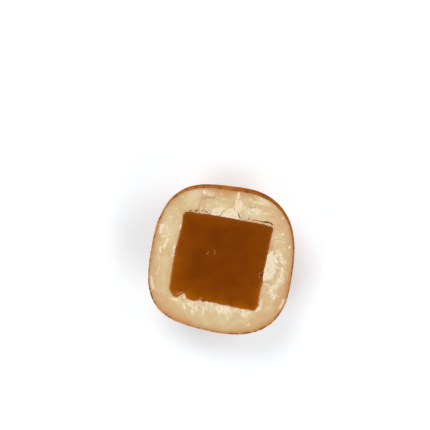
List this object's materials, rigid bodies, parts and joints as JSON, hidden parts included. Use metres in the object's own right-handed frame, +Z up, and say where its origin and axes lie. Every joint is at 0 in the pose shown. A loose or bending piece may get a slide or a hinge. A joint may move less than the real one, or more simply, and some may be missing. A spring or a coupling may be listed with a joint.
{
  "type": "halved caramel dragee",
  "caption": "Half of a rounded-cube caramel dragee, cut face up: caramel block in a thick pale coat under a thin mottled brown glaze, a sweet to eat or to garnish with.",
  "frame": {"origin": "on the surface that the half lies on, under the middle of its outline", "axes": "+Z up, out of the cut face; +X to the right and +Y to the top of the cut face as the picture shows it"},
  "size_m": [0.023, 0.0237, 0.0116],
  "materials": {
    "brown_glaze": "glossy, mottled brown",
    "cream_coat": "waxy, crumbly where it is cut",
    "caramel": "smooth cut, soft sheen"
  },
  "bodies": {
    "root": {"brown_glaze": "brown_glaze", "cream_coat": "cream_coat", "caramel_centre": "caramel"}
  },
  "joints": []
}
